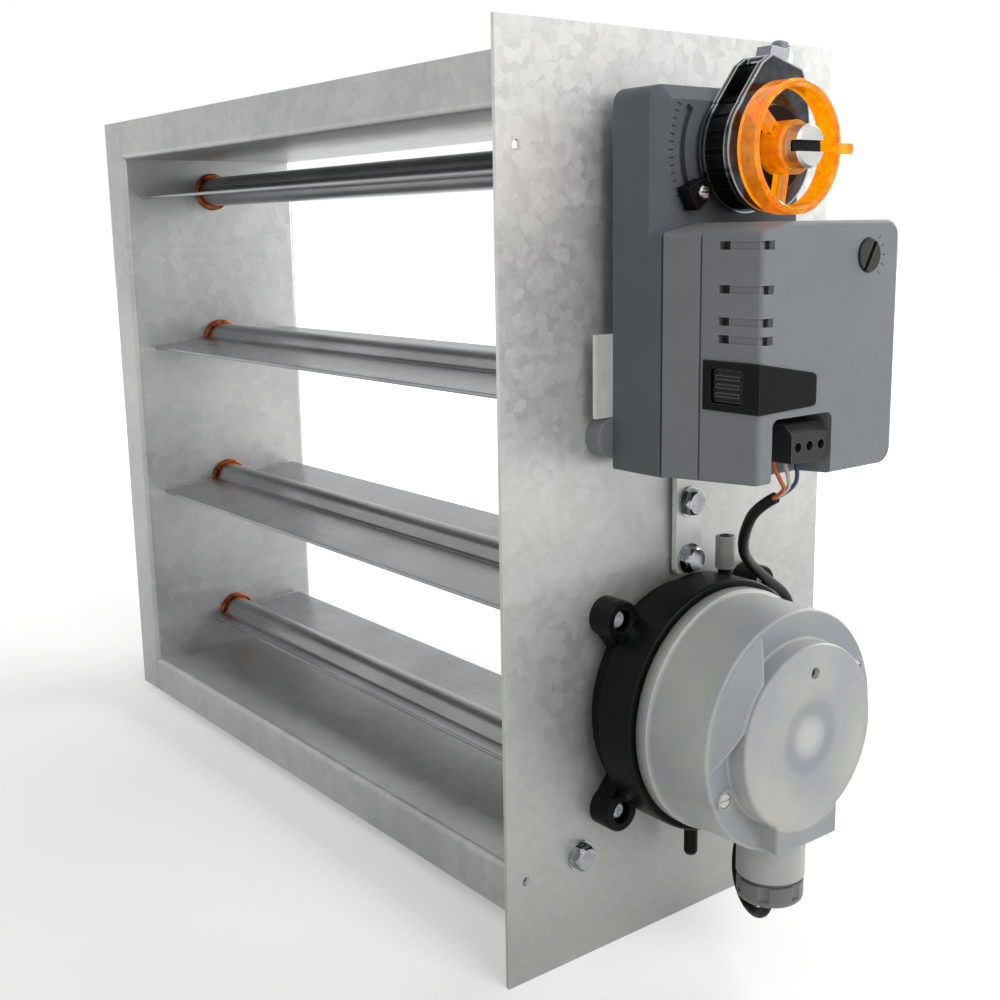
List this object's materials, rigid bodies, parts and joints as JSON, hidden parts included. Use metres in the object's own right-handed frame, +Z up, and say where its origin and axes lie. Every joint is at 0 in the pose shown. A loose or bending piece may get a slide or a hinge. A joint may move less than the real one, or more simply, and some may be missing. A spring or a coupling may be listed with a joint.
{
  "type": "bypass damper",
  "caption": "Motorised bypass damper with parallel blades in a sheet-metal frame, a direct-coupled rotary actuator and an air pressure switch on its side plate.",
  "frame": {"origin": "centre of the mounting plate's outer face", "axes": "+X out of the mounting plate towards the actuator, +Y through the damper with the air, +Z up"},
  "size_m": [0.4235, 0.15, 0.3048],
  "materials": {
    "galvanised": "galvanised, faint spangle",
    "plate_galvanised": "galvanised, satin",
    "blade_steel": "galvanised sheet, satin",
    "steel": "bright steel, satin",
    "zinc": "zinc plated",
    "bronze": "sintered bronze, satin",
    "actuator_grey": "fine textured moulding",
    "black_plastic": "satin moulding",
    "knob_grey": "satin moulding",
    "amber": "translucent",
    "frosted": "frosted, translucent",
    "pale_plastic": "satin moulding",
    "grey_nylon": "satin moulding",
    "rubber": "matte",
    "cable_jacket": "matte",
    "core_insulation": "satin"
  },
  "bodies": {
    "damper_frame": {"mounting_plate": "plate_galvanised", "near_jamb": "galvanised", "far_jamb": "galvanised", "head_channel": "galvanised", "sill_channel": "galvanised", "offset_bracket": "galvanised", "anti_rotation_strap": "galvanised", "plate_screws": "zinc", "strap_bolts": "zinc", "ear_screws": "zinc", "cover_screws": "zinc", "near_bushes": "bronze", "far_bushes": "bronze", "actuator_base": "actuator_grey", "actuator_cover": "actuator_grey", "release_surround": "black_plastic", "switch_base": "black_plastic", "terminal_block": "black_plastic", "bumper": "rubber", "diaphragm_housing": "pale_plastic", "switch_cover": "frosted", "gland_body": "grey_nylon", "gland_nut": "grey_nylon", "control_cable": "cable_jacket", "control_cores": "core_insulation"},
    "drive_blade": {"blade_1": "blade_steel", "blade_shaft_1": "steel", "crank_1": "zinc", "set_screw_1": "steel", "link_pin_1": "steel", "hub_body": "black_plastic", "clamp_yoke": "zinc", "clamp_block": "black_plastic", "clamp_stud": "zinc", "clamp_nut": "zinc", "indicator_ring": "amber"},
    "blade_2_group": {"blade_2": "blade_steel", "blade_shaft_2": "steel", "crank_2": "zinc", "set_screw_2": "steel", "link_pin_2": "steel"},
    "blade_3_group": {"blade_3": "blade_steel", "blade_shaft_3": "steel", "crank_3": "zinc", "set_screw_3": "steel", "link_pin_3": "steel"},
    "blade_4_group": {"blade_4": "blade_steel", "blade_shaft_4": "steel", "crank_4": "zinc", "set_screw_4": "steel", "link_pin_4": "steel"},
    "tie_bar": {"tie_bar": "zinc"},
    "end_stop_left": {"end_stop_left": "black_plastic", "end_stop_screw_left": "zinc"},
    "end_stop_right": {"end_stop_right": "black_plastic", "end_stop_screw_right": "zinc"},
    "selector_knob": {"selector_knob": "knob_grey"},
    "release_button": {"release_button": "knob_grey"},
    "setting_dial": {"setting_dial": "pale_plastic"}
  },
  "joints": [
    {"name": "drive_blade_turn", "type": "hinge", "parent": "damper_frame", "child": "drive_blade", "pos_m": [0, -0.002, 0.1143], "axis": [1, 0, 0], "range_deg": [-4.5, 81.5]},
    {"name": "blade_2_turn", "type": "hinge", "parent": "damper_frame", "child": "blade_2_group", "pos_m": [0, -0.002, 0.0389], "axis": [1, 0, 0], "range_deg": [-4.5, 81.5]},
    {"name": "blade_3_turn", "type": "hinge", "parent": "damper_frame", "child": "blade_3_group", "pos_m": [0, -0.002, -0.0365], "axis": [1, 0, 0], "range_deg": [-4.5, 81.5]},
    {"name": "blade_4_turn", "type": "hinge", "parent": "damper_frame", "child": "blade_4_group", "pos_m": [0, -0.002, -0.1119], "axis": [1, 0, 0], "range_deg": [-4.5, 81.5]},
    {"name": "tie_bar_turn", "type": "hinge", "parent": "drive_blade", "child": "tie_bar", "pos_m": [-0.0138, 0.01678, 0.09936], "axis": [1, 0, 0], "range_deg": [-81.5, 4.5]},
    {"name": "end_stop_left_slide", "type": "hinge", "parent": "damper_frame", "child": "end_stop_left", "pos_m": [0.028, -0.002, 0.1143], "axis": [1, 0, 0], "range_deg": [-30, 5]},
    {"name": "end_stop_right_slide", "type": "hinge", "parent": "damper_frame", "child": "end_stop_right", "pos_m": [0.028, -0.002, 0.1143], "axis": [1, 0, 0], "range_deg": [-25, 5]},
    {"name": "selector_knob_turn", "type": "hinge", "parent": "damper_frame", "child": "selector_knob", "pos_m": [0.0656, 0.0117, 0.083], "axis": [1, 0, 0], "range_deg": [0, 90]},
    {"name": "release_button_press", "type": "slide", "parent": "damper_frame", "child": "release_button", "axis": [0, 1, 0], "range_m": [0, 0.0025], "stiffness_N_per_m": 800},
    {"name": "setting_dial_turn", "type": "hinge", "parent": "damper_frame", "child": "setting_dial", "pos_m": [0.045, 0.001, -0.0662], "axis": [1, 0, 0], "range_deg": [0, 270]}
  ],
  "couplings": [
    {"joint": "blade_2_turn", "follows": "drive_blade_turn", "ratio": 1},
    {"joint": "blade_3_turn", "follows": "drive_blade_turn", "ratio": 1},
    {"joint": "blade_4_turn", "follows": "drive_blade_turn", "ratio": 1},
    {"joint": "tie_bar_turn", "follows": "drive_blade_turn", "ratio": -1}
  ]
}
